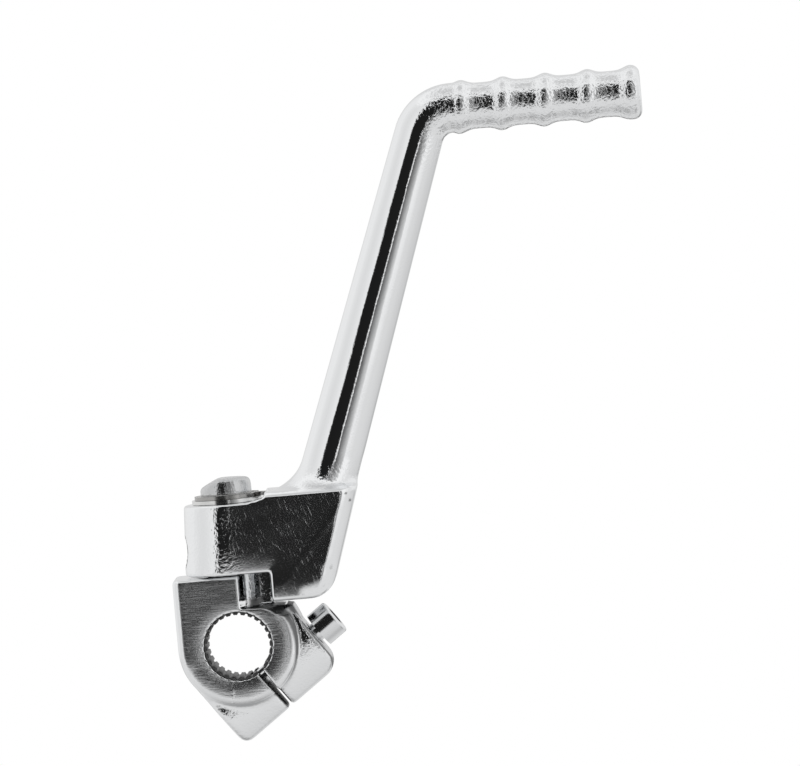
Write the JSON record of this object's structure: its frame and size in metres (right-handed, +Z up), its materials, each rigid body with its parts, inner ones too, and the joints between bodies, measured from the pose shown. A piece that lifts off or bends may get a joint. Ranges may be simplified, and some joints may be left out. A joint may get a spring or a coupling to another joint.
{
  "type": "kick start lever",
  "caption": "Folding kick start lever: splined split clamp with an upright pivot post, and a leaning round arm ending in a ribbed foot pedal that swings out about the post.",
  "frame": {"origin": "middle of the splined kick shaft bore", "axes": "+Z up along the pivot post, +Y along the bore to the engine side, +X along the folded pedal"},
  "size_m": [0.1389, 0.026, 0.1751],
  "materials": {
    "arm_chrome": "bright chrome plate over a polished steel forging",
    "knuckle_chrome": "chrome plate over a machined steel forging",
    "washer_steel": "zinc plated steel",
    "ring_steel": "spring steel, plated",
    "screw_plate": "bright plated steel",
    "ball_steel": "polished bearing steel",
    "spring_steel": "bare spring steel"
  },
  "bodies": {
    "knuckle": {"clamp_knuckle": "knuckle_chrome", "pinch_screw": "screw_plate", "thrust_washer": "washer_steel", "circlip": "ring_steel"},
    "arm": {"kick_arm": "arm_chrome", "detent_ball": "ball_steel", "detent_spring": "spring_steel"}
  },
  "joints": [
    {"name": "arm_swing", "type": "hinge", "parent": "knuckle", "child": "arm", "pos_m": [0, 0, 0.03], "axis": [0, 0, -1], "range_deg": [0, 90]}
  ]
}
